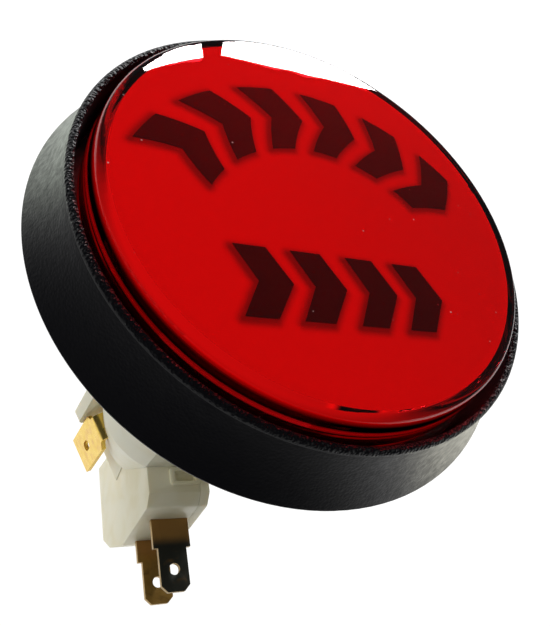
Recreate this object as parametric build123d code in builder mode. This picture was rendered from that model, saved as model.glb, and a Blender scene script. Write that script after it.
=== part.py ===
"""Illuminated panel push button: a round snap-action button with a lamp and a microswitch.

Units are millimetres. The origin is the centre of the bezel's underside, where it meets
the panel, and +Z points out of the button's face. The legend reads along +X, and the
switch stands on the -Y side with its two tabs pointing away from the axis.
"""

import os
from math import atan, cos, radians, sin

from build123d import *

# ---- driving dimensions -----------------------------------------------------------------
BEZEL_R = 31.75  # outside radius at the panel
BEZEL_H = 9.8  # height of the rim above the panel
RIM_OUT_R = 29.0  # outside radius at the rim
RIM_IN_R = 28.2  # inside radius at the rim
RECESS_Z = 2.0  # floor of the recess that the lens moves in
TRAVEL = 3.5  # press of the button

HUB_R = 12.0  # threaded neck, for a 24 mm panel hole
HUB_BORE_R = 10.28
HUB_END_Z = -26.0
THREAD_TOP_Z = -5.0  # plain stretch of the neck above this, threaded below
THREAD_PITCH = 2.0
THREAD_R = 11.9
THREAD_DEPTH = 0.6

LENS_TOP_Z = 12.2
LENS_TOP_R = 26.7
LENS_FOOT_Z = 5.9
LENS_FOOT_R = 27.1
LENS_FACE_T = 0.8  # thickness of the lens's face
LENS_IN_R = 25.4
DISC_R = 25.2  # legend film and diffuser

STEM_OUT_R = 10.2
STEM_IN_R = 8.8
STEM_END_Z = -12.0
LEG_HALF_W = 3.0  # half width of the leg that reaches the switch
LEG_END_Z = -55.0

HOLDER_TOP_Z = -17.0
HOLDER_R = 11.6
HOLDER_FLAT_Y = 10.3  # distance of the barrel's flat from the axis
HOLDER_END_Z = -43.4  # also the top of the switch
CRADLE_END_Z = -60.0

SWITCH_HALF_T = 5.15  # half the switch's 10.3 mm thickness
SWITCH_BACK_Y = -0.1
SWITCH_END_Z = -71.2
BUTTON_Z = -52.0  # height of the switch's own button
BUTTON_TRAVEL = 1.0
BUTTON_TIP_R = 1.5
BUTTON_TIP_Y = 1.0  # centre of the rounded tip
PIVOT_Y, PIVOT_Z = -6.35, -64.5  # where the contact arm swings
CONTACT_Z = -47.4

TAB_T = 0.8
TAB_OPEN_Z = -50.0
TAB_COMMON_Z = -58.4
TAB_TIP_Y = -28.5
LAMP_TURN = 20.0  # the lamp and its tabs are turned this far round from the X axis
LAMP_TAB_W = 6.35
LAMP_STRIP_W = 4.4  # the terminal's width inside the lampholder
LAMP_TAB_U = 10.7  # distance of the tab from the axis
LAMP_TAB_V = 2.4  # the tab's middle, sideways from the line through the axis
LAMP_ROOT_Z = -48.4
LAMP_TAB_END_Z = -61.0
lamp_route = [
    (LAMP_TAB_U, LAMP_ROOT_Z - 3.0),
    (LAMP_TAB_U, LAMP_ROOT_Z),
    (6.3, LAMP_ROOT_Z),
    (6.3, -19.0),
    (1.7, -19.0),
    (1.7, -11.5),
]

os.makedirs("parts", exist_ok=True)


def write(piece, label):
    """Name a finished piece and write its STEP file."""
    piece.label = label
    export_step(piece, f"parts/{label}.step")


def lamp_plane(turn):
    """Upright plane through the axis: x runs outwards along a lamp terminal, y runs up."""
    angle = radians(LAMP_TURN + turn)
    return Plane((0, 0, 0), x_dir=(cos(angle), sin(angle), 0), z_dir=(sin(angle), -cos(angle), 0))


# ---- bezel: flared ring, recess floor and threaded neck in one moulding -------------------
EDGE = 0.5
with BuildPart() as bezel:
    with BuildSketch(Plane.XZ):
        with BuildLine():
            wall_foot = (BEZEL_R, EDGE)
            wall_head = (RIM_OUT_R + 0.12, BEZEL_H - 0.9)
            rim_out = (RIM_OUT_R - 0.25, BEZEL_H - 0.1)
            rim_in = (RIM_IN_R + 0.1, BEZEL_H - 0.1)
            Line((HUB_BORE_R, 0), (BEZEL_R - EDGE, 0))
            SagittaArc((BEZEL_R - EDGE, 0), wall_foot, -0.15)
            SagittaArc(wall_foot, wall_head, 0.35)
            SagittaArc(wall_head, rim_out, -0.15)
            SagittaArc(rim_out, rim_in, -0.1)
            SagittaArc(rim_in, (RIM_IN_R, BEZEL_H - 0.5), -0.05)
            Polyline(
                (RIM_IN_R, BEZEL_H - 0.5),
                (RIM_IN_R, RECESS_Z),
                (HUB_BORE_R, RECESS_Z),
                (HUB_BORE_R, 0),
            )
        make_face()
    revolve(axis=Axis.Z)
    # the neck below the panel face
    for radius, end_z in ((HUB_R, THREAD_TOP_Z), (THREAD_R, HUB_END_Z)):
        with BuildSketch():
            Circle(radius)
            Circle(HUB_BORE_R, mode=Mode.SUBTRACT)
        extrude(amount=end_z)
    # thread: one V-shaped groove for each turn of the pitch
    turns = int((THREAD_TOP_Z - HUB_END_Z) / THREAD_PITCH)
    with BuildSketch(Plane.XZ):
        for turn in range(turns):
            z = THREAD_TOP_Z - (turn + 0.5) * THREAD_PITCH
            with BuildLine():
                Polyline(
                    (THREAD_R + 0.1, z + 0.75),
                    (THREAD_R - THREAD_DEPTH, z),
                    (THREAD_R + 0.1, z - 0.75),
                    close=True,
                )
            make_face()
    revolve(axis=Axis.Z, mode=Mode.SUBTRACT)
    # two bayonet slots in the neck's end take the lampholder's lugs
    with BuildSketch(Plane.XY.offset(HUB_END_Z)):
        with PolarLocations(0, 2, start_angle=45):
            with Locations((HUB_R, 0)):
                Rectangle(6, 4)
    extrude(amount=5, mode=Mode.SUBTRACT)
write(bezel.part, "bezel")

# ---- panel nut --------------------------------------------------------------------------
NUT_R, NUT_H, NUT_TOP_Z = 17.0, 6.0, -6.0
with BuildPart() as nut:
    with BuildSketch(Plane.XY.offset(NUT_TOP_Z)):
        Circle(NUT_R)
        Circle(THREAD_R + 0.05, mode=Mode.SUBTRACT)
        with PolarLocations(NUT_R + 0.4, 12):
            Circle(1.8, mode=Mode.SUBTRACT)
    extrude(amount=-NUT_H)
    # the washer face is a little wider than the gripped part
    with BuildSketch(Plane.XY.offset(NUT_TOP_Z)):
        Circle(NUT_R + 1.0)
        Circle(THREAD_R + 0.05, mode=Mode.SUBTRACT)
    extrude(amount=-1.2)
write(nut.part, "panel_nut")

# ---- plunger: plate, light well, guide stem and the leg that works the switch --------------
PLATE_Z, PLATE_T, PLATE_R = 6.45, 1.6, 25.8
WELL_TOP_Z = 9.5
ramp_slope = BUTTON_TRAVEL / TRAVEL
ramp_gap = 0.1
ramp_y = BUTTON_TIP_Y + (BUTTON_TIP_R + ramp_gap) / cos(atan(ramp_slope))


def ramp_at(z):
    """Y of the leg's ramp at height z, which passes the switch button's tip."""
    return ramp_y - ramp_slope * (z - BUTTON_Z)


with BuildPart() as plunger:
    with BuildSketch(Plane.XY.offset(PLATE_Z)):
        Circle(PLATE_R)
        Circle(7.2, mode=Mode.SUBTRACT)
    extrude(amount=PLATE_T)
    with BuildSketch(Plane.XY.offset(PLATE_Z)):
        Circle(DISC_R)
        Circle(DISC_R - 1.6, mode=Mode.SUBTRACT)
    extrude(amount=WELL_TOP_Z - PLATE_Z)
    # six ribs stiffen the plate and carry the diffuser
    with BuildSketch(Plane.XY.offset(PLATE_Z)):
        with PolarLocations(17, 6, start_angle=30):
            Rectangle(15, 1.2)
    extrude(amount=WELL_TOP_Z - PLATE_Z)
    # guide stem
    with BuildSketch(Plane.XY.offset(PLATE_Z)):
        Circle(STEM_OUT_R)
        Circle(STEM_IN_R, mode=Mode.SUBTRACT)
    extrude(amount=STEM_END_Z - PLATE_Z)
    # leg: a strip of the stem's wall that runs on down to the switch
    with BuildSketch(Plane.XY.offset(STEM_END_Z)):
        Circle(STEM_OUT_R)
        Circle(STEM_IN_R, mode=Mode.SUBTRACT)
        with Locations((0, STEM_IN_R)):
            Rectangle(2 * LEG_HALF_W, 2 * (STEM_OUT_R - STEM_IN_R) + 1.2, mode=Mode.INTERSECT)
    extrude(amount=LEG_END_Z - STEM_END_Z)
    # foot: a wedge whose ramp pushes the switch button as the leg comes down
    with BuildSketch(Plane.YZ.offset(-LEG_HALF_W)):
        with BuildLine():
            Polyline(
                (8.8, -41.5),
                (ramp_at(-47.3), -47.3),
                (ramp_at(LEG_END_Z), LEG_END_Z),
                (8.8, LEG_END_Z),
                close=True,
            )
        make_face()
    extrude(amount=2 * LEG_HALF_W)
write(plunger.part, "plunger")

# ---- diffuser, legend film and lens --------------------------------------------------------
FILM_T = 0.25
FILM_GAP = 0.08  # room for the print between the film and the lens
film_z = LENS_TOP_Z - LENS_FACE_T - FILM_GAP - FILM_T
with BuildPart() as diffuser:
    with BuildSketch(Plane.XY.offset(WELL_TOP_Z)):
        Circle(DISC_R)
    extrude(amount=film_z - WELL_TOP_Z)
write(diffuser.part, "diffuser_plate")

with BuildPart() as film:
    with BuildSketch(Plane.XY.offset(film_z)):
        Circle(DISC_R)
    extrude(amount=FILM_T)
write(film.part, "legend_film")

GROOVE_R = PLATE_R + 0.1
with BuildPart() as lens:
    with BuildSketch(Plane.XZ):
        with BuildLine():
            lens_in_z = LENS_TOP_Z - LENS_FACE_T
            groove_top = PLATE_Z + PLATE_T + 0.05
            Polyline(
                (0, LENS_TOP_Z),
                (LENS_TOP_R - 0.9, LENS_TOP_Z),
            )
            SagittaArc((LENS_TOP_R - 0.9, LENS_TOP_Z), (LENS_TOP_R, LENS_TOP_Z - 0.9), 0.26)
            Polyline(
                (LENS_TOP_R, LENS_TOP_Z - 0.9),
                (LENS_FOOT_R, LENS_FOOT_Z + 2.6),
                (LENS_FOOT_R, LENS_FOOT_Z),
                (LENS_IN_R + 0.2, LENS_FOOT_Z),
                (LENS_IN_R, PLATE_Z - 0.05),
                (GROOVE_R, PLATE_Z - 0.05),
                (GROOVE_R, groove_top),
                (LENS_IN_R, groove_top),
                (LENS_IN_R, lens_in_z),
                (0, lens_in_z),
                (0, LENS_TOP_Z),
            )
        make_face()
    revolve(axis=Axis.Z)
write(lens.part, "lens")

# ---- return spring, between the lampholder and the plunger's plate ---------------------------
COIL_R, WIRE_R, COILS = 8.0, 0.4, 9
coil_bottom = HOLDER_TOP_Z + WIRE_R + 0.02
coil_top = PLATE_Z - WIRE_R - 0.02
with BuildPart() as spring:
    with BuildLine():
        coil = Helix((coil_top - coil_bottom) / COILS, coil_top - coil_bottom, COIL_R, center=(0, 0, coil_bottom))
    with BuildSketch(Plane(origin=coil @ 0, z_dir=coil % 0)):
        Circle(WIRE_R)
    sweep()
write(spring.part, "return_spring")

# ---- lampholder: spigot, barrel, tapered throat and switch cradle in white nylon --------------
SOCKET_R = 6.9
SOCKET_TOP_Z = -8.0
FLOOR_T = 4.0
SEAT_GAP = 0.05  # between the neck's end and the barrel
GUARD_U, GUARD_END_Z, GUARD_CORNER = 11.9, -54.0, 1.8  # ears beside the lamp tabs
barrel_in_r = HOLDER_R - 1.1
slot_half_w = LEG_HALF_W + 0.35
throat_end_z, throat_r = -55.0, 8.2
with BuildPart() as holder:
    # spigot inside the neck, with the lamp socket standing up through it
    with BuildSketch(Plane.XY.offset(HOLDER_TOP_Z)):
        Circle(HUB_BORE_R - 0.18)
    extrude(amount=HUB_END_Z - SEAT_GAP - HOLDER_TOP_Z)
    with BuildSketch(Plane.XY.offset(HOLDER_TOP_Z)):
        Circle(SOCKET_R)
    extrude(amount=SOCKET_TOP_Z - HOLDER_TOP_Z)
    fillet(holder.edges().group_by(Axis.Z)[-1], 0.5)
    # barrel below the neck, closed above by the socket's floor
    with BuildSketch(Plane.XY.offset(HUB_END_Z - SEAT_GAP)):
        Circle(HOLDER_R)
    extrude(amount=HOLDER_END_Z - HUB_END_Z + SEAT_GAP)
    # the barrel is flat on the side of the switch
    with BuildSketch(Plane.XY.offset(HUB_END_Z - SEAT_GAP)):
        with Locations((0, -HOLDER_FLAT_Y - 5.0)):
            Rectangle(2 * HOLDER_R, 10.0)
    extrude(amount=HOLDER_END_Z - HUB_END_Z + SEAT_GAP, mode=Mode.SUBTRACT)
    # tapered throat
    with BuildSketch(Plane.XY.offset(HOLDER_END_Z)):
        Circle(HOLDER_R)
    with BuildSketch(Plane.XY.offset(throat_end_z)):
        Circle(throat_r)
    loft()
    # cradle: two cheeks that thin out towards -Y, and a back wall
    for z, tip_y in ((HOLDER_END_Z, -2.0), (CRADLE_END_Z, -6.5)):
        with BuildSketch(Plane.XY.offset(z)):
            with BuildLine():
                Polyline(
                    (-5.3, tip_y),
                    (-7.9, 1.0),
                    (-7.9, 6.5),
                    (-6.0, 11.2),
                    (6.0, 11.2),
                    (7.9, 6.5),
                    (7.9, 1.0),
                    (5.3, tip_y),
                    close=True,
                )
            make_face()
    loft()
    # hollow the barrel, then open a channel for the leg and the switch below it
    with BuildSketch(Plane.XY.offset(HUB_END_Z - FLOOR_T)):
        Circle(barrel_in_r)
        with Locations((0, HOLDER_R - HOLDER_FLAT_Y + 1.2)):
            Rectangle(2 * HOLDER_R, 2 * HOLDER_R, mode=Mode.INTERSECT)
    extrude(amount=HOLDER_END_Z + 3.0 - (HUB_END_Z - FLOOR_T), mode=Mode.SUBTRACT)
    channel_back_y = STEM_OUT_R + 0.15
    for top_z, end_z, front_y in (
        (HOLDER_END_Z + 3.0, HOLDER_END_Z, -9.1),
        (HOLDER_END_Z, CRADLE_END_Z, -HOLDER_R - 0.4),
    ):
        with BuildSketch(Plane.XY.offset(top_z)):
            with Locations((0, (front_y + channel_back_y) / 2)):
                Rectangle(2 * SWITCH_HALF_T + 0.1, channel_back_y - front_y)
        extrude(amount=end_z - top_z, mode=Mode.SUBTRACT)
    # the leg's way down through the spigot and the floor
    with BuildSketch(Plane.XY.offset(HOLDER_TOP_Z)):
        with Locations((0, STEM_OUT_R + 0.35 - 4.0)):
            Rectangle(2 * slot_half_w, 8.0)
        Circle(STEM_IN_R - 0.9, mode=Mode.SUBTRACT)
    extrude(amount=HOLDER_END_Z - HOLDER_TOP_Z, mode=Mode.SUBTRACT)
    # bayonet lugs
    with BuildSketch(Plane.XY.offset(HUB_END_Z + 1.2)):
        with PolarLocations(0, 2, start_angle=45):
            with Locations((HUB_BORE_R + 0.1, 0)):
                Rectangle(2.6, 3.4)
    extrude(amount=2.6)
    # wedge socket for the lamp's base, turned with the lamp's terminals
    with BuildSketch(Plane.XY.offset(SOCKET_TOP_Z)):
        Rectangle(4.4, 9.9, rotation=LAMP_TURN)
    extrude(amount=-9.0, mode=Mode.SUBTRACT)
    # guards beside the lamp tabs, and the slots that the lamp terminals stand in
    for turn in (180, 0):
        with BuildSketch(lamp_plane(turn).offset(LAMP_TAB_V + LAMP_TAB_W / 2 + 0.25)):
            with BuildLine():
                Polyline(
                    (GUARD_U - GUARD_CORNER, GUARD_END_Z),
                    (6.5, GUARD_END_Z),
                    (6.5, HOLDER_END_Z + 1.0),
                    (GUARD_U, HOLDER_END_Z + 1.0),
                    (GUARD_U, GUARD_END_Z + GUARD_CORNER),
                )
                SagittaArc(
                    (GUARD_U, GUARD_END_Z + GUARD_CORNER), (GUARD_U - GUARD_CORNER, GUARD_END_Z), 0.5
                )
            make_face()
        extrude(amount=2.0)
        with BuildSketch(lamp_plane(turn).offset(LAMP_TAB_V - LAMP_STRIP_W / 2 - 0.05)):
            with BuildLine():
                FilletPolyline(*lamp_route, radius=0.8)
            trace(line_width=TAB_T + 0.1)
        extrude(amount=LAMP_STRIP_W + 0.1, mode=Mode.SUBTRACT)
write(holder.part, "lampholder")

# ---- lamp terminals: one brass strip each, tab outside and contact leaf in the socket ---------
for turn, side in ((180, "left"), (0, "right")):
    with BuildPart() as lamp_terminal:
        with BuildSketch(lamp_plane(turn).offset(LAMP_TAB_V - LAMP_STRIP_W / 2)):
            with BuildLine():
                FilletPolyline(*lamp_route, radius=0.8)
            trace(line_width=TAB_T)
        extrude(amount=LAMP_STRIP_W)
        # the tab itself is wider, with a hole and a chamfered tip
        tab_plane = Plane(
            origin=lamp_plane(turn).from_local_coords((LAMP_TAB_U - TAB_T / 2, 0, LAMP_TAB_V)),
            x_dir=lamp_plane(turn).z_dir,
            z_dir=lamp_plane(turn).x_dir,
        )
        tab_h = LAMP_ROOT_Z - 1.0 - LAMP_TAB_END_Z
        with BuildSketch(tab_plane) as tab:
            tab_mid = LAMP_TAB_END_Z + tab_h / 2
            with Locations((0, -tab_mid)):
                Rectangle(LAMP_TAB_W, tab_h)
            chamfer(tab.vertices().sort_by(Axis.Z)[:2], 1.2)
            with Locations((0, -(LAMP_TAB_END_Z + 5.0))):
                SlotCenterToCenter(0.9, 1.6, rotation=90, mode=Mode.SUBTRACT)
        extrude(amount=TAB_T)
    write(lamp_terminal.part, f"lamp_terminal_{side}")

# ---- lamp: wedge-base bulb ---------------------------------------------------------------------
BULB_R, BULB_TOP_Z, BULB_NECK_Z, BULB_NECK_R = 5.0, 3.0, -7.9, 3.6
GLASS_T = 0.5
BASE_T, BASE_W, BASE_END_Z = 2.4, 9.3, -16.6
with BuildPart() as bulb:
    with BuildSketch(Plane.XZ):
        with BuildLine():
            shoulder_z = BULB_NECK_Z + 2.0
            dome_z = BULB_TOP_Z - BULB_R
            Polyline((0, BULB_TOP_Z), (0, BULB_NECK_Z), (BULB_NECK_R, BULB_NECK_Z))
            Line((BULB_NECK_R, BULB_NECK_Z), (BULB_R, shoulder_z))
            Line((BULB_R, shoulder_z), (BULB_R, dome_z))
            RadiusArc((BULB_R, dome_z), (0, BULB_TOP_Z), -BULB_R)
        make_face()
    revolve(axis=Axis.Z)
    # the glass is a thin shell round the filament
    with BuildSketch(Plane.XZ):
        with BuildLine():
            inner_r = BULB_R - GLASS_T
            Polyline((0, BULB_TOP_Z - GLASS_T), (0, BULB_NECK_Z + 1.0), (BULB_NECK_R - GLASS_T, BULB_NECK_Z + 1.0))
            Line((BULB_NECK_R - GLASS_T, BULB_NECK_Z + 1.0), (inner_r, shoulder_z + 0.3))
            Line((inner_r, shoulder_z + 0.3), (inner_r, dome_z))
            RadiusArc((inner_r, dome_z), (0, BULB_TOP_Z - GLASS_T), -inner_r)
        make_face()
    revolve(axis=Axis.Z, mode=Mode.SUBTRACT)
write(bulb.part, "lamp_glass")

with BuildPart() as lamp_base:
    with BuildSketch(Plane.XY.offset(BASE_END_Z)):
        Rectangle(BASE_T, BASE_W, rotation=LAMP_TURN)
    extrude(amount=BULB_NECK_Z - BASE_END_Z)
    fillet(lamp_base.edges().filter_by(Axis.Z), 0.6)
write(lamp_base.part, "lamp_base")

FILAMENT_Z, LEAD_SPREAD, LEAD_R = -1.5, 1.6, 0.25
with BuildPart() as leads:
    # two wires rise from the base and lean apart to hold the filament
    for side in (-1, 1):
        with BuildLine():
            Line((0, side * 1.0, BULB_NECK_Z + 1.0), (0, side * LEAD_SPREAD, FILAMENT_Z))
        with BuildSketch(Plane.XY.offset(BULB_NECK_Z + 1.0)):
            with Locations((0, side * 1.0)):
                Circle(LEAD_R)
        sweep()
write(leads.part, "lamp_leads")

with BuildPart() as filament:
    filament_half = LEAD_SPREAD + 0.2
    with BuildSketch(Plane.XZ.offset(-filament_half)):
        with Locations((0, FILAMENT_Z + LEAD_R)):
            Circle(0.3)
    extrude(amount=2 * filament_half)
write(filament.part, "lamp_filament")

# ---- switch case and cover: a snap switch standing on end, cut across its thickness -------------
CASE_WALL = 1.6
COVER_T = 1.6
PIN_R = 0.9
case_outline = [
    (SWITCH_BACK_Y, HOLDER_END_Z),
    (-14.6, HOLDER_END_Z),
    (-16.4, -45.2),
    (-18.2, -59.6),
    (-16.4, -67.4),
    (-14.0, SWITCH_END_Z),
    (SWITCH_BACK_Y, SWITCH_END_Z),
]
cavity_outline = [
    (SWITCH_BACK_Y - CASE_WALL, HOLDER_END_Z - CASE_WALL),
    (-14.0, HOLDER_END_Z - CASE_WALL),
    (-14.6, -47.0),
    (-14.6, -65.0),
    (-13.0, SWITCH_END_Z + CASE_WALL),
    (SWITCH_BACK_Y - CASE_WALL, SWITCH_END_Z + CASE_WALL),
]
BUTTON_W, BUTTON_H = 3.4, 3.0
WINDOW_AT = (1.0, -12.0)
TAB_ROOT_W, TAB_W = 6.3, 4.8
with BuildPart() as case:
    with BuildSketch(Plane.YZ.offset(-SWITCH_HALF_T)):
        with BuildLine():
            Polyline(*case_outline, close=True)
        make_face()
    extrude(amount=2 * SWITCH_HALF_T - COVER_T)
    fillet(case.edges().filter_by(Axis.X).filter_by_position(Axis.Y, -18.5, -16.0), 1.2)
    with BuildSketch(Plane.YZ.offset(-SWITCH_HALF_T + CASE_WALL)):
        with BuildLine():
            Polyline(*cavity_outline, close=True)
        make_face()
    extrude(amount=2 * SWITCH_HALF_T, mode=Mode.SUBTRACT)
    # slots for the button and the two tabs
    with BuildSketch(Plane.XZ):
        with Locations((0, BUTTON_Z)):
            Rectangle(BUTTON_W + 0.16, BUTTON_H + 0.16)
    extrude(amount=4.0, mode=Mode.SUBTRACT)
    with BuildSketch(Plane.XZ.offset(13.0)):
        with Locations((0, TAB_OPEN_Z), (0, TAB_COMMON_Z)):
            Rectangle(TAB_ROOT_W + 0.06, TAB_T + 0.06)
    extrude(amount=8.0, mode=Mode.SUBTRACT)
    # raised frame round a small window in the case's upper end
    with BuildSketch(Plane.XY.offset(HOLDER_END_Z - 0.4)):
        with Locations(WINDOW_AT):
            RectangleRounded(5.0, 3.0, 0.6)
            RectangleRounded(3.4, 1.7, 0.3, mode=Mode.SUBTRACT)
    extrude(amount=0.9)
    with BuildSketch(Plane.XY.offset(HOLDER_END_Z)):
        with Locations(WINDOW_AT):
            RectangleRounded(3.4, 1.7, 0.3)
    extrude(amount=-0.9, mode=Mode.SUBTRACT)
write(case.part, "switch_case")

with BuildPart() as cover:
    with BuildSketch(Plane.YZ.offset(SWITCH_HALF_T - COVER_T)):
        with BuildLine():
            Polyline(*case_outline, close=True)
        make_face()
    extrude(amount=COVER_T)
    fillet(cover.edges().filter_by(Axis.X).filter_by_position(Axis.Y, -18.5, -16.0), 1.2)
    with BuildSketch(Plane.YZ.offset(SWITCH_HALF_T)):
        with Locations((-3.0, HOLDER_END_Z - 3.2), (-13.4, SWITCH_END_Z + 3.6)):
            Circle(PIN_R + 0.03)
    extrude(amount=-COVER_T, mode=Mode.SUBTRACT)
write(cover.part, "switch_cover")

with BuildPart() as cover_pins:
    with BuildSketch(Plane.YZ.offset(SWITCH_HALF_T - COVER_T)):
        with Locations((-3.0, HOLDER_END_Z - 3.2), (-13.4, SWITCH_END_Z + 3.6)):
            Circle(PIN_R)
    extrude(amount=COVER_T)
    fillet(cover_pins.edges().group_by(Axis.X)[-1], 0.3)
write(cover_pins.part, "cover_pins")

# ---- switch tabs and their fixed contact ----------------------------------------------------------
open_route = [(TAB_TIP_Y, TAB_OPEN_Z), (-11.6, TAB_OPEN_Z), (-11.6, CONTACT_Z + 2.0)]
common_route = [
    (TAB_TIP_Y, TAB_COMMON_Z),
    (-11.6, TAB_COMMON_Z),
    (-11.6, PIVOT_Z - 1.8),
    (PIVOT_Y - 0.8, PIVOT_Z - 1.8),
]
for route, label in ((open_route, "terminal_open"), (common_route, "terminal_common")):
    tab_z = route[0][1]
    with BuildPart() as terminal:
        with BuildSketch(Plane.YZ.offset(-TAB_W / 2)):
            with BuildLine():
                FilletPolyline(*route, radius=0.8)
            trace(line_width=TAB_T)
        extrude(amount=TAB_W)
        # wide root with square shoulders
        with BuildSketch(Plane.XY.offset(tab_z - TAB_T / 2)):
            with Locations((0, -17.5)):
                Rectangle(TAB_ROOT_W, 8.2)
        extrude(amount=TAB_T)
        chamfer(terminal.edges().filter_by(Axis.Z).group_by(Axis.Y)[0], 1.0)
        with BuildSketch(Plane.XY.offset(tab_z - TAB_T)):
            with Locations((0, TAB_TIP_Y + 3.5)):
                Circle(0.9)
        extrude(amount=2 * TAB_T, mode=Mode.SUBTRACT)
    write(terminal.part, label)

RIVET_R = 1.5
with BuildPart() as fixed_contact:
    with BuildSketch(Plane.XZ.offset(11.2)):
        with Locations((0, CONTACT_Z)):
            Circle(RIVET_R)
    extrude(amount=-1.7)
    fillet(fixed_contact.edges().group_by(Axis.Y)[-1], 0.3)
write(fixed_contact.part, "fixed_contact")

# ---- switch button, contact arm and its contact ---------------------------------------------------
ARM_T, ARM_W = 0.3, 3.6
ARM_Y = PIVOT_Y + ARM_T / 2
button_in_y = ARM_Y + 0.12
with BuildPart() as button:
    with BuildSketch(Plane.YZ.offset(-BUTTON_W / 2)):
        with BuildLine():
            half_h = BUTTON_H / 2
            Polyline(
                (BUTTON_TIP_Y, BUTTON_Z - half_h),
                (button_in_y, BUTTON_Z - half_h),
                (button_in_y, BUTTON_Z + half_h),
                (BUTTON_TIP_Y, BUTTON_Z + half_h),
            )
            RadiusArc((BUTTON_TIP_Y, BUTTON_Z + half_h), (BUTTON_TIP_Y, BUTTON_Z - half_h), BUTTON_TIP_R)
        make_face()
    extrude(amount=BUTTON_W)
    # collar that stops the button leaving the case
    with BuildSketch(Plane.XZ.offset(-SWITCH_BACK_Y + CASE_WALL + 0.15)):
        with Locations((0, BUTTON_Z)):
            Rectangle(BUTTON_W + 1.6, BUTTON_H + 1.4)
    extrude(amount=1.2)
write(button.part, "switch_button")

with BuildPart() as arm:
    with BuildSketch(Plane.YZ.offset(-ARM_W / 2)):
        with Locations((PIVOT_Y, (CONTACT_Z + PIVOT_Z) / 2)):
            Rectangle(ARM_T, CONTACT_Z - PIVOT_Z + 3.2)
        with Locations((PIVOT_Y, PIVOT_Z)):
            Circle(0.7)
    extrude(amount=ARM_W)
write(arm.part, "contact_arm")

with BuildPart() as moving_contact:
    with BuildSketch(Plane.XZ.offset(-(PIVOT_Y - ARM_T / 2))):
        with Locations((0, CONTACT_Z)):
            Circle(RIVET_R)
    extrude(amount=1.1)
    fillet(moving_contact.edges().group_by(Axis.Y)[0], 0.3)
write(moving_contact.part, "moving_contact")
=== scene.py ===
"""Looks of the illuminated push button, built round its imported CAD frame."""

from math import cos, pi, radians, sin

import bmesh
import bpy
import numpy as np
from mathutils import Matrix, Quaternion, Vector


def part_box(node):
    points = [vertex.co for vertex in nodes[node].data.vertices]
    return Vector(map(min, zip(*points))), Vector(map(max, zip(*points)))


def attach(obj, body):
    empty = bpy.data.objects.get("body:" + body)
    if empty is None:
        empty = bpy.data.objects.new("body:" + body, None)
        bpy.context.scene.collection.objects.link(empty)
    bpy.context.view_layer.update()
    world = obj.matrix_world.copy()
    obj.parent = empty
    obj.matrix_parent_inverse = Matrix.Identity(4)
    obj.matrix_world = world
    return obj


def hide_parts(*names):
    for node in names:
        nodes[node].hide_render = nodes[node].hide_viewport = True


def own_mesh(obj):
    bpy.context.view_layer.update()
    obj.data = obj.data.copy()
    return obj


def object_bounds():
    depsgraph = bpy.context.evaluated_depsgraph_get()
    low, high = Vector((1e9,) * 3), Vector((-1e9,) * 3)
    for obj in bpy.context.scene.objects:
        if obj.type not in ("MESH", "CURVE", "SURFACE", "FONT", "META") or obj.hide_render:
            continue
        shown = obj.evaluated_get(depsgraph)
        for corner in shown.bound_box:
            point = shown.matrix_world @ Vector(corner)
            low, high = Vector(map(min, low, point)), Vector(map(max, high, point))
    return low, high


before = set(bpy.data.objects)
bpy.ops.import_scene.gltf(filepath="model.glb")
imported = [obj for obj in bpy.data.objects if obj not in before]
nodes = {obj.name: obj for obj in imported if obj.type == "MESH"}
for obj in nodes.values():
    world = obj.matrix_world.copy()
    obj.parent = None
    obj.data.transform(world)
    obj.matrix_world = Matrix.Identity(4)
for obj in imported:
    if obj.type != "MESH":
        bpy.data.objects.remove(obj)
cad_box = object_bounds()
MM = 0.001


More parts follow.
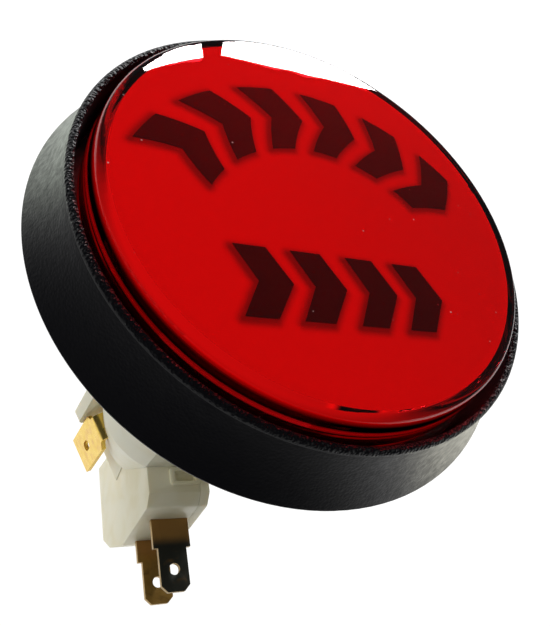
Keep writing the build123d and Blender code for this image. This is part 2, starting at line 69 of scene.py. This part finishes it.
# ---- material helpers: every pattern is procedural, with its lengths in millimetres ----------
class Look:
    """A Principled material that small procedural layers are added to."""

    def __init__(self, name, colour, roughness, **sockets):
        self.mat = bpy.data.materials.new(name)
        self.mat.use_nodes = True
        self.tree = self.mat.node_tree
        self.shader = self.tree.nodes["Principled BSDF"]
        self.output = self.tree.nodes["Material Output"]
        self.colour, self.roughness = (*colour, 1.0), roughness
        self.shader.inputs["Base Color"].default_value = self.colour
        self.shader.inputs["Roughness"].default_value = roughness
        for socket, value in sockets.items():
            self.shader.inputs[socket.replace("_", " ")].default_value = value
        coord = self.add("ShaderNodeTexCoord")
        scale = self.add("ShaderNodeMapping")
        scale.inputs["Scale"].default_value = (1 / MM, 1 / MM, 1 / MM)
        self.link(coord.outputs["Object"], scale.inputs["Vector"])
        self.mm = scale.outputs["Vector"]
        self.normal = None

    def add(self, kind, **props):
        node = self.tree.nodes.new(kind)
        for key, value in props.items():
            setattr(node, key, value)
        return node

    def link(self, source, target):
        self.tree.links.new(source, target)

    def noise(self, size, detail=3.0, distortion=0.0, stretch=(1, 1, 1)):
        """Noise from 0 to 1 whose features are about size mm across."""
        node = self.add("ShaderNodeTexNoise")
        node.inputs["Scale"].default_value = 1 / size
        node.inputs["Detail"].default_value = detail
        node.inputs["Distortion"].default_value = distortion
        stretched = self.add("ShaderNodeMapping")
        stretched.inputs["Scale"].default_value = stretch
        self.link(self.mm, stretched.inputs["Vector"])
        self.link(stretched.outputs["Vector"], node.inputs["Vector"])
        return node.outputs["Fac"]

    def cells(self, size, feature="F1"):
        """Voronoi distance of cells about size mm across."""
        node = self.add("ShaderNodeTexVoronoi", feature=feature)
        node.inputs["Scale"].default_value = 1 / size
        if feature == "SMOOTH_F1":
            node.inputs["Smoothness"].default_value = 0.6
        self.link(self.mm, node.inputs["Vector"])
        return node.outputs["Distance"]

    def span(self, value, low, high, to_low=0.0, to_high=1.0):
        """Value carried from the span low..high to to_low..to_high, clamped."""
        node = self.add("ShaderNodeMapRange", interpolation_type="SMOOTHSTEP")
        ends = {"From Min": low, "From Max": high, "To Min": to_low, "To Max": to_high}
        for socket, number in ends.items():
            node.inputs[socket].default_value = number
        self.link(value, node.inputs["Value"])
        return node.outputs["Result"]

    def math(self, operation, a, b):
        node = self.add("ShaderNodeMath", operation=operation)
        for socket, value in zip(node.inputs, (a, b)):
            if isinstance(value, (int, float)):
                socket.default_value = value
            else:
                self.link(value, socket)
        return node.outputs["Value"]

    def axis(self, name):
        """One coordinate of the point, in mm."""
        node = self.add("ShaderNodeSeparateXYZ")
        self.link(self.mm, node.inputs["Vector"])
        return node.outputs[name]

    def radius(self):
        """Distance from the Z axis, in mm."""
        flat = self.add("ShaderNodeVectorMath", operation="MULTIPLY")
        flat.inputs[1].default_value = (1.0, 1.0, 0.0)
        self.link(self.mm, flat.inputs[0])
        length = self.add("ShaderNodeVectorMath", operation="LENGTH")
        self.link(flat.outputs["Vector"], length.inputs[0])
        return length.outputs["Value"]

    def tint(self, fac, colour):
        """Base colour mixed towards colour where fac is high."""
        node = self.add("ShaderNodeMix", data_type="RGBA")
        node.inputs[6].default_value = self.colour
        incoming = self.shader.inputs["Base Color"]
        if incoming.is_linked:
            self.link(incoming.links[0].from_socket, node.inputs[6])
        node.inputs[7].default_value = (*colour, 1.0)
        self.link(fac, node.inputs["Factor"])
        self.link(node.outputs[2], incoming)
        return self

    def rough(self, fac, low, high):
        """Roughness from low to high as fac goes from 0 to 1."""
        self.link(self.span(fac, 0.25, 0.75, low, high), self.shader.inputs["Roughness"])
        return self

    def bump(self, height, distance, strength=1.0):
        """A height field whose full range is distance mm."""
        node = self.add("ShaderNodeBump")
        node.inputs["Strength"].default_value = strength
        node.inputs["Distance"].default_value = distance * MM
        self.link(height, node.inputs["Height"])
        if self.normal is not None:
            self.link(self.normal, node.inputs["Normal"])
        self.normal = node.outputs["Normal"]
        self.link(self.normal, self.shader.inputs["Normal"])
        return self


def paint(look, *pieces):
    for piece in pieces:
        piece.data.materials.clear()
        piece.data.materials.append(look.mat)


# ---- finishes ---------------------------------------------------------------------------------
def moulded_black():
    """Satin black with a leather-like grain, and a coarse glinting grain on the rim."""
    look = Look("bezel_moulded_black", (0.0034, 0.0033, 0.0054), 0.40, Specular_IOR_Level=0.3)
    on_rim = look.span(look.axis("Z"), 8.95, 9.35)
    look.tint(look.noise(2.5), (0.0052, 0.0052, 0.0072))
    look.rough(look.noise(0.9), 0.34, 0.46)
    look.bump(look.cells(0.34, "SMOOTH_F1"), 0.06, 0.35)
    look.bump(look.noise(0.16, 2.0), 0.02, 0.4)
    coarse = look.math("MULTIPLY", look.cells(0.36, "F1"), on_rim)
    look.bump(coarse, 0.32, 1.0)
    return look


def nylon(name, colour, warm):
    """Natural nylon: a little light passes through it, with faint flow marks."""
    look = Look(name, colour, 0.38, Subsurface_Weight=0.25, Subsurface_Scale=0.0012)
    look.shader.inputs["Subsurface Radius"].default_value = (1.0, 0.8, 0.6)
    look.tint(look.span(look.noise(6.0, 2.0, 0.6), 0.35, 0.75), warm)
    look.rough(look.noise(3.0), 0.32, 0.46)
    look.bump(look.noise(1.6, 3.0, 0.3), 0.03, 0.25)
    look.bump(look.noise(0.14, 1.0), 0.006, 0.3)
    return look


def stamped(name, colour, tarnish, low, high, rough=(0.22, 0.42)):
    """Stamped strip metal with tarnish in patches and fine rolling lines."""
    look = Look(name, colour, rough[0], Metallic=1.0)
    look.tint(look.span(look.noise(2.2, 4.0, 0.8), low, high), tarnish)
    look.rough(look.noise(1.3, 4.0), *rough)
    look.bump(look.noise(0.12, 2.0, 0.0, (1.0, 1.0, 0.06)), 0.006, 0.35)
    look.bump(look.noise(1.8, 2.0), 0.04, 0.2)
    return look


def tab_bronze(name, blade, root):
    """Dark bronze tab: an edge highlight painted in brass colour on its side faces, lighter towards the
    case it comes out of.
    """
    look = stamped(name, blade, [0.5 * v for v in root], 0.5, 0.85, (0.3, 0.5))
    look.shader.inputs["Metallic"].default_value = 0.5
    look.tint(look.span(look.axis("Y"), -21.4, -19.4), root)
    # painted highlight: the side faces are tinted brass
    normal = look.add("ShaderNodeSeparateXYZ")
    look.link(look.add("ShaderNodeNewGeometry").outputs["True Normal"], normal.inputs["Vector"])
    upright = look.math("ABSOLUTE", normal.outputs["Z"], 0.0)
    look.tint(look.math("MULTIPLY", look.math("LESS_THAN", upright, 0.5), 0.75), (0.62, 0.44, 0.20))
    return look


def legend_red():
    """Opaque red film: painted light makes it lighter towards the lower left and paints an orange-red glow
    near its rim, and it is darker with a painted shadow of the print where its shade attribute is high.
    """
    look = Look("film_red", (0.76, 0.0035, 0.013), 0.6, Specular_IOR_Level=0.1)
    # painted light: the film is tinted lighter towards the lower left
    across = look.math("ADD", look.axis("X"), look.axis("Y"))
    look.tint(look.span(across, 30.0, -40.0, 0.0, 1.0), (0.95, 0.005, 0.011))
    # painted edge glow: an orange-red band near the rim
    look.tint(look.math("MULTIPLY", look.span(look.radius(), 24.2, 25.1), 0.6), (0.90, 0.028, 0.008))
    # painted shadow of the print, read from the shade attribute
    shade = look.add("ShaderNodeAttribute", attribute_name="shade")
    look.tint(look.span(shade.outputs["Fac"], 0.0, 1.0, 0.0, 0.85), (0.16, 0.001, 0.003))
    look.bump(look.noise(7.0, 2.0), 0.03, 0.2)
    return look


LENS_WALL_MM = (25.3, 25.5)  # radii on either side of the lens's inner wall
LENS_FACE_MM = 11.39  # just below the inside of its face
CLIP_FOOT_MM = 10.7
CLIP_GAPS = (  # azimuth and half width, in degrees, of the gaps under the insert's edge
    (-95.5, 8.5), (-82.7, 2.9), (-77.2, 1.2), (163.0, 2.5), (89.0, 5.0), (17.0, 2.5),
)


def tinted_lens():
    """Clear red acrylic, polished, with dust on it, and a red glow painted on its inner wall. Light passes
    through to what is below.
    """
    look = Look("lens_red_acrylic", (0.86, 0.012, 0.02), 0.0, Transmission_Weight=1.0, IOR=1.49)
    look.bump(look.noise(7.0, 1.0), 0.02, 0.5)
    speck = look.span(look.cells(2.6), 0.055, 0.02)
    dusty = look.span(look.noise(5.0, 2.0), 0.5, 0.62)
    dust = look.math("MULTIPLY", speck, dusty)
    white = look.add("ShaderNodeBsdfDiffuse")
    white.inputs["Color"].default_value = (0.8, 0.5, 0.5, 1.0)
    dusted = look.add("ShaderNodeMixShader")
    look.link(look.math("MULTIPLY", dust, 0.55), dusted.inputs["Fac"])
    look.link(look.shader.outputs["BSDF"], dusted.inputs[1])
    look.link(white.outputs["BSDF"], dusted.inputs[2])
    # the wall shows the red of the insert behind it, with a painted red glow over it: broad at the top, a
    # thin line at the foot
    radius, height = look.radius(), look.axis("Z")
    at_wall = look.math(
        "MULTIPLY",
        look.math("LESS_THAN", radius, LENS_WALL_MM[1]),
        look.math("GREATER_THAN", radius, LENS_WALL_MM[0]),
    )
    upper, foot = look.span(height, 9.4, 10.9), look.span(height, 8.5, 8.35, 0.0, 0.3)
    below_face = look.math("LESS_THAN", height, LENS_FACE_MM)
    touching = look.math("MULTIPLY", look.math("MAXIMUM", upper, foot), below_face)
    turn = look.math("ARCTAN2", look.axis("Y"), look.axis("X"))
    low_down = look.math("LESS_THAN", height, CLIP_FOOT_MM)
    for middle, half in CLIP_GAPS:
        off = look.math("ABSOLUTE", look.math("SUBTRACT", turn, radians(middle)), 0.0)
        beside = look.span(off, radians(0.5 * half), radians(half))
        touching = look.math("MULTIPLY", touching, look.math("MAXIMUM", beside, low_down))
    insert_there = look.math("MULTIPLY", at_wall, touching)
    # painted glow: the wall emits red, more strongly towards the face
    glow = look.math("MULTIPLY", insert_there, look.span(height, 10.1, 10.9, 0.5, 2.6))
    look.link(glow, look.shader.inputs["Emission Strength"])
    look.shader.inputs["Emission Color"].default_value = (1.0, 0.012, 0.01, 1.0)
    insert = look.add("ShaderNodeBsdfDiffuse")
    insert.inputs["Color"].default_value = (0.95, 0.03, 0.03, 1.0)
    walled = look.add("ShaderNodeMixShader")
    look.link(look.math("MULTIPLY", insert_there, 0.85), walled.inputs["Fac"])
    look.link(dusted.outputs["Shader"], walled.inputs[1])
    look.link(insert.outputs["BSDF"], walled.inputs[2])
    # light on its way to the film passes straight through, dyed red
    passing = look.add("ShaderNodeBsdfTransparent")
    passing.inputs["Color"].default_value = (0.97, 0.30, 0.32, 1.0)
    path = look.add("ShaderNodeLightPath")
    lit = look.add("ShaderNodeMixShader")
    onward = look.math("MAXIMUM", path.outputs["Is Shadow Ray"], path.outputs["Is Diffuse Ray"])
    look.link(onward, lit.inputs["Fac"])
    look.link(walled.outputs["Shader"], lit.inputs[1])
    look.link(passing.outputs["BSDF"], lit.inputs[2])
    look.link(lit.outputs["Shader"], look.output.inputs["Surface"])
    return look


bezel_black = moulded_black()
white = nylon("nylon_white", (0.86, 0.84, 0.68), (0.82, 0.77, 0.56))
shell = nylon("nylon_switch", (0.85, 0.81, 0.62), (0.80, 0.74, 0.51))
brass = stamped("brass_bright", (0.95, 0.68, 0.16), (0.80, 0.50, 0.16), 0.45, 0.8)
bronze = tab_bronze("bronze_dark", (0.035, 0.036, 0.028), (0.38, 0.20, 0.055))
bronze_warm = tab_bronze("bronze_warm", (0.40, 0.23, 0.05), (0.38, 0.20, 0.055))
steel = stamped("steel_bright", (0.55, 0.55, 0.57), (0.36, 0.35, 0.34), 0.5, 0.9)
copper = stamped("beryllium_copper", (0.72, 0.42, 0.24), (0.5, 0.28, 0.16), 0.5, 0.9)
silver = stamped("contact_silver", (0.85, 0.85, 0.84), (0.5, 0.47, 0.42), 0.5, 0.9)
tungsten = stamped("tungsten_dull", (0.32, 0.32, 0.34), (0.2, 0.2, 0.22), 0.4, 0.8)
nut_black = Look("nut_black", (0.012, 0.012, 0.013), 0.45)
nut_black.tint(nut_black.noise(3.0), (0.02, 0.02, 0.021)).rough(nut_black.noise(1.5), 0.38, 0.52)
nut_black.bump(nut_black.noise(0.5), 0.05, 0.25)
plunger_black = Look("plunger_black", (0.010, 0.010, 0.010), 0.4)
plunger_black.tint(plunger_black.noise(3.0), (0.018, 0.017, 0.017))
plunger_black.bump(plunger_black.noise(0.8), 0.03, 0.2)
diffuser = Look("diffuser_white", (0.85, 0.82, 0.78), 0.5, Subsurface_Weight=0.3, Subsurface_Scale=0.002)
diffuser.tint(diffuser.noise(8.0), (0.80, 0.76, 0.70)).bump(diffuser.noise(0.6), 0.02, 0.3)
button_red = Look("button_red", (0.55, 0.03, 0.02), 0.35)
button_red.tint(button_red.noise(1.5), (0.45, 0.02, 0.015)).bump(button_red.noise(0.6), 0.02, 0.2)
glass = Look("lamp_glass", (0.95, 0.97, 0.97), 0.0, Transmission_Weight=1.0, IOR=1.5)
glass.bump(glass.noise(2.5, 1.0), 0.02, 0.2)
red_film, red_lens = legend_red(), tinted_lens()
ink = Look("legend_ink", (0.016, 0.005, 0.008), 0.6, Specular_IOR_Level=0.05)
ink.tint(ink.noise(3.0), (0.034, 0.009, 0.014)).bump(ink.noise(0.4), 0.01, 0.3)

for look, names in (
    (bezel_black, ["bezel"]),
    (nut_black, ["panel_nut"]),
    (white, ["lampholder"]),
    (shell, ["switch_case", "switch_cover"]),
    (brass, ["lamp_terminal_left", "lamp_terminal_right"]),
    (bronze, ["terminal_open"]),
    (bronze_warm, ["terminal_common"]),
    (steel, ["cover_pins", "lamp_leads"]),
    (copper, ["contact_arm"]),
    (silver, ["fixed_contact", "moving_contact"]),
    (tungsten, ["lamp_filament"]),
    (plunger_black, ["plunger"]),
    (diffuser, ["diffuser_plate"]),
    (button_red, ["switch_button"]),
    (glass, ["lamp_glass", "lamp_base"]),
    (red_lens, ["lens"]),
):
    paint(look, *(nodes[name] for name in names))


# ---- pieces built here --------------------------------------------------------------------------
def piece(name, bm, body, look, slot, smooth=True):
    """A finished mesh that rides on a CAD body."""
    mesh = bpy.data.meshes.new(name)
    bmesh.ops.recalc_face_normals(bm, faces=bm.faces)
    bm.to_mesh(mesh)
    bm.free()
    obj = bpy.data.objects.new(name, mesh)
    bpy.context.scene.collection.objects.link(obj)
    for face in mesh.polygons:
        face.use_smooth = smooth
    paint(look, obj)
    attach(obj, body)
    return obj


def tube(bm, path, radius, sides=12):
    """A round wire along a path of points, closed at both ends."""
    rings = []
    for i, point in enumerate(path):
        ahead = path[min(i + 1, len(path) - 1)] - path[max(i - 1, 0)]
        ahead.normalize()
        side = ahead.cross(Vector((0, 0, 1))).normalized()
        up = side.cross(ahead)
        ring = []
        for k in range(sides):
            turn = 2 * pi * k / sides
            ring.append(bm.verts.new(point + radius * (cos(turn) * side + sin(turn) * up)))
        rings.append(ring)
    for a, b in zip(rings, rings[1:]):
        for k in range(sides):
            bm.faces.new((a[k], a[(k + 1) % sides], b[(k + 1) % sides], b[k]))
    bm.faces.new(rings[0][::-1])
    bm.faces.new(rings[-1])


SHARP_DEG, SHADE_DEG = 38.0, 32.0  # edges sharper than these are rounded, and shaded as creases


def softened(node, look, slot, width):
    """A copy of a CAD node with its sharp edges rounded by width mm, shown instead of the node."""
    bm = bmesh.new()
    bm.from_mesh(nodes[node].data)
    bmesh.ops.remove_doubles(bm, verts=bm.verts, dist=0.003 * MM)
    bmesh.ops.dissolve_limit(bm, angle_limit=radians(0.5), verts=bm.verts, edges=bm.edges)
    shared = [edge for edge in bm.edges if len(edge.link_faces) == 2]
    sharp = [edge for edge in shared if edge.calc_face_angle(0.0) > radians(SHARP_DEG)]
    bmesh.ops.bevel(
        bm, geom=sharp, offset=width * MM, offset_type="OFFSET", segments=2, profile=0.5, affect="EDGES",
        clamp_overlap=True,
    )
    obj = piece(f"{node}_soft", bm, "housing", look, slot)
    obj.data.set_sharp_from_angle(angle=radians(SHADE_DEG))
    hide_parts(node)


softened("switch_case", shell, "white_nylon", 0.16)
softened("switch_cover", shell, "white_nylon", 0.16)
softened("terminal_open", bronze, "bronze", 0.06)
softened("terminal_common", bronze_warm, "bronze", 0.06)

# return spring: close-wound end coils and an open middle
WIRE_R = 0.4 * MM
END_TURNS, OPEN_TURNS, STEPS = 1.25, 7.0, 40
low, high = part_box("return_spring")
coil_r = high.x - WIRE_R
turns = 2 * END_TURNS + OPEN_TURNS
spring_bm = bmesh.new()
spring_path = []
foot, head = low.z + WIRE_R, high.z - WIRE_R
closed = 2.02 * WIRE_R * END_TURNS
for i in range(int(turns * STEPS) + 1):
    turn = i / STEPS
    if turn < END_TURNS:
        z = foot + closed * turn / END_TURNS
    elif turn < END_TURNS + OPEN_TURNS:
        z = foot + closed + (head - foot - 2 * closed) * (turn - END_TURNS) / OPEN_TURNS
    else:
        z = head - closed * (turns - turn) / END_TURNS
    angle = 2 * pi * turn
    spring_path.append(Vector((coil_r * cos(angle), coil_r * sin(angle), z)))
tube(spring_bm, spring_path, WIRE_R, 10)
spring = piece("spring_coil", spring_bm, "housing", steel, "steel")
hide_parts("return_spring")
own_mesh(spring)

# filament: a fine coil across the two lead wires
FIL_TURNS, FIL_STEPS, FIL_R = 14, 12, 0.22 * MM
low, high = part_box("lamp_filament")
fil_bm = bmesh.new()
fil_mid = (low + high) / 2
fil_path = []
for i in range(FIL_TURNS * FIL_STEPS + 1):
    angle = 2 * pi * i / FIL_STEPS
    along = low.y + (high.y - low.y) * (0.06 + 0.88 * i / (FIL_TURNS * FIL_STEPS))
    fil_path.append(Vector((fil_mid.x + FIL_R * cos(angle), along, fil_mid.z + FIL_R * sin(angle))))
tube(fil_bm, fil_path, 0.06 * MM, 6)
filament = piece("filament_coil", fil_bm, "housing", tungsten, "tungsten")
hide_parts("lamp_filament")

# legend: a plain arched row of six chevrons over a row of four, printed on the film
CHEVRON = [(0.0, 0.0), (0.60, 0.0), (1.0, 0.5), (0.60, 1.0), (0.0, 1.0), (0.36, 0.5)]
ARCH_MID = Vector((0.0, -7.8))
ARCH_IN, ARCH_OUT = 16.4, 26.0
ARCH_FROM, ARCH_TO, ARCH_MARKS = 150.5, 29.5, 6
ROW_Y = (-15.7, -7.0)
ROW_X = [(-13.0, -6.7), (-6.3, -0.2), (0.6, 6.4), (6.9, 12.7)]
# width and offset of the painted shadow round the print, in mm
PRINT_SHADOW_MM, PRINT_SHADOW_SHIFT = 1.3, (-0.35, -0.4)


def chevron_outlines():
    """The outline of every printed mark, in mm on the face."""
    outlines = []
    pitch = (ARCH_TO - ARCH_FROM) / ARCH_MARKS
    for mark in range(ARCH_MARKS):
        start = ARCH_FROM + pitch * (mark + 0.04)
        outline = []
        for (u0, v0), (u1, v1) in zip(CHEVRON, CHEVRON[1:] + CHEVRON[:1]):
            for step in range(6):
                u, v = u0 + (u1 - u0) * step / 6, v0 + (v1 - v0) * step / 6
                angle = radians(start + pitch * 0.92 * u)
                radius = ARCH_IN + (ARCH_OUT - ARCH_IN) * v
                outline.append(ARCH_MID + radius * Vector((cos(angle), sin(angle))))
        outlines.append(outline)
    for left, right in ROW_X:
        wide, tall = right - left, ROW_Y[1] - ROW_Y[0]
        outlines.append([Vector((left + wide * u, ROW_Y[0] + tall * v)) for u, v in CHEVRON])
    return outlines


def shade_at(points, outlines):
    """How much of each outline's soft shadow falls at the points, from 0 to 1."""
    best = np.full(len(points), 1e9)
    for outline in outlines:
        ring = np.array([(p.x, p.y) for p in outline])
        inside = np.zeros(len(points), bool)
        for a, b in zip(ring, np.roll(ring, -1, axis=0)):
            run = b - a
            t = np.clip(((points - a) @ run) / (run @ run), 0, 1)
            best = np.minimum(best, np.linalg.norm(points - a - t[:, None] * run, axis=1))
            crosses = (a[1] > points[:, 1]) != (b[1] > points[:, 1])
            with np.errstate(divide="ignore", invalid="ignore"):
                at = a[0] + (points[:, 1] - a[1]) * run[0] / run[1]
            inside ^= crosses & (points[:, 0] < at)
        best[inside] = 0.0
    return np.clip(1 - best / PRINT_SHADOW_MM, 0, 1) ** 1.4


# the film itself: a thin disc whose top carries the print's painted soft shadow
FILM_RINGS, FILM_STEPS = 84, 300
FILM_MARGIN = 0.17 * MM  # it reaches this much nearer to the lens's wall than the CAD disc
film_low, film_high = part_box("legend_film")
film_bm = bmesh.new()
centre = film_bm.verts.new((0, 0, film_high.z))
film_angles = [2 * pi * k / FILM_STEPS for k in range(FILM_STEPS)]
rings = []
for ring in range(1, FILM_RINGS + 1):
    radius = (film_high.x + FILM_MARGIN) * ring / FILM_RINGS
    rings.append([film_bm.verts.new((radius * cos(a), radius * sin(a), film_high.z)) for a in film_angles])
bottom = [film_bm.verts.new((v.co.x, v.co.y, film_low.z)) for v in rings[-1]]
for k in range(FILM_STEPS):
    after = (k + 1) % FILM_STEPS
    film_bm.faces.new((centre, rings[0][k], rings[0][after]))
    for inner, outer in zip(rings, rings[1:]):
        film_bm.faces.new((inner[k], outer[k], outer[after], inner[after]))
    film_bm.faces.new((rings[-1][k], bottom[k], bottom[after], rings[-1][after]))
film_bm.faces.new(bottom[::-1])
film = piece("film_sheet", film_bm, "plunger", red_film, "film_red", smooth=False)
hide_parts("legend_film")
flat = np.array([(v.co.x / MM, v.co.y / MM) for v in film.data.vertices]) - np.array(PRINT_SHADOW_SHIFT)
shade = film.data.attributes.new("shade", "FLOAT", "POINT")
shade.data.foreach_set("value", shade_at(flat, chevron_outlines()).astype(np.float32))

# the print: each mark is a thin prism that stands just proud of the film
PRINT_LOW, PRINT_HIGH = film_high.z + 0.01 * MM, film_high.z + 0.04 * MM
print_bm = bmesh.new()
for outline in chevron_outlines():
    under = [print_bm.verts.new((p.x * MM, p.y * MM, PRINT_LOW)) for p in outline]
    over = [print_bm.verts.new((p.x * MM, p.y * MM, PRINT_HIGH)) for p in outline]
    print_bm.faces.new(under[::-1])
    print_bm.faces.new(over)
    for i in range(len(outline)):
        k = (i + 1) % len(outline)
        print_bm.faces.new((under[i], under[k], over[k], over[i]))
piece("legend_print", print_bm, "plunger", ink, "film_red", smooth=False)

# ---- camera, floor and light ------------------------------------------------------------------
CAMERA_AT = (-0.04345, -0.05137, 0.06688)
camera = bpy.data.objects.new("camera", bpy.data.cameras.new("camera"))
bpy.context.scene.collection.objects.link(camera)
right, up, back = (
    Vector((0.88661, -0.17432, 0.42842)),
    Vector((-0.07995, 0.85456, 0.51316)),
    Vector((-0.45556, -0.48922, 0.74373)),
)
turned = Matrix((right, up, back)).transposed().to_4x4()
camera.matrix_world = Matrix.Translation(CAMERA_AT) @ turned
camera.data.sensor_width, camera.data.lens = 36.0, 43.13
camera.data.clip_start = 0.005
bpy.context.scene.camera = camera
bpy.context.scene.view_settings.view_transform = "Standard"

FLOOR_Z = cad_box[0].z - 0.1 * MM
floor_bm = bmesh.new()
bmesh.ops.create_grid(floor_bm, x_segments=1, y_segments=1, size=1.5)
floor_mesh = bpy.data.meshes.new("floor")
floor_bm.to_mesh(floor_mesh)
floor_bm.free()
floor = bpy.data.objects.new("floor", floor_mesh)
bpy.context.scene.collection.objects.link(floor)
floor.location.z = FLOOR_Z
paper = Look("floor_paper", (0.12, 0.12, 0.12), 0.9, Specular_IOR_Level=0.0)
paper.shader.inputs["Emission Color"].default_value = (1.0, 1.0, 1.0, 1.0)
# white to the camera, and a softer, uneven light to the object
path = paper.add("ShaderNodeLightPath")
across = paper.math("ADD", paper.axis("X"), paper.axis("Y"))
near = paper.add("ShaderNodeVectorMath", operation="LENGTH")
paper.link(paper.mm, near.inputs[0])
behind = paper.span(across, -130.0, 60.0, 0.0, 0.9)
beneath = paper.span(near.outputs["Value"], 110.0, 40.0, 0.0, 0.9)
strength = paper.math("MAXIMUM", path.outputs["Is Camera Ray"], paper.math("MAXIMUM", behind, beneath))
paper.link(strength, paper.shader.inputs["Emission Strength"])
paint(paper, floor)

world = bpy.data.worlds.new("studio")
bpy.context.scene.world = world
world.use_nodes = True
background = world.node_tree.nodes["Background"]
background.inputs["Color"].default_value = (0.9, 0.95, 1.0, 1.0)
background.inputs["Strength"].default_value = 0.06


def panel(
    name, azimuth, elevation, distance, size, watts,
    colour=(1, 1, 1), aim=(0, 0, 0), seen=True, roll=0.0,
):
    """A soft box. Azimuth runs from +X towards +Y. seen says whether gloss reflects it."""
    light = bpy.data.lights.new(name, "AREA")
    light.shape, light.size, light.size_y = "RECTANGLE", *size
    light.energy, light.color = watts, colour
    obj = bpy.data.objects.new(name, light)
    bpy.context.scene.collection.objects.link(obj)
    a, e = radians(azimuth), radians(elevation)
    out = Vector((cos(a) * cos(e), sin(a) * cos(e), sin(e)))
    obj.location = Vector(aim) + out * distance
    obj.rotation_mode = "QUATERNION"
    obj.rotation_quaternion = out.to_track_quat("Z", "Y") @ Quaternion((0, 0, 1), radians(roll))
    obj.visible_camera = False
    obj.visible_glossy = seen


TOP = cad_box[1].z
panel("key", -110, 62, 0.7, (0.7, 0.7), 1.0, (1.0, 0.97, 0.90), seen=False)
panel("fill", 185, 8, 0.8, (0.6, 0.5), 2.0, (1.0, 0.99, 0.95), seen=False)
panel("window", 61.5, 24.8, 0.55, (0.14, 0.16), 2.9, aim=(0.001, 0.0235, TOP), roll=18.5)
panel("window_side", 74.6, 29.8, 0.55, (0.050, 0.16), 1.1, aim=(-0.018, 0.018, TOP), roll=36.0)
panel("left_glow", 125, -28, 0.09, (0.05, 0.03), 0.0045, (0.84, 1.0, 0.76))
panel("right_glow", -18, -28, 0.09, (0.05, 0.03), 0.006, (1.0, 0.97, 0.72))
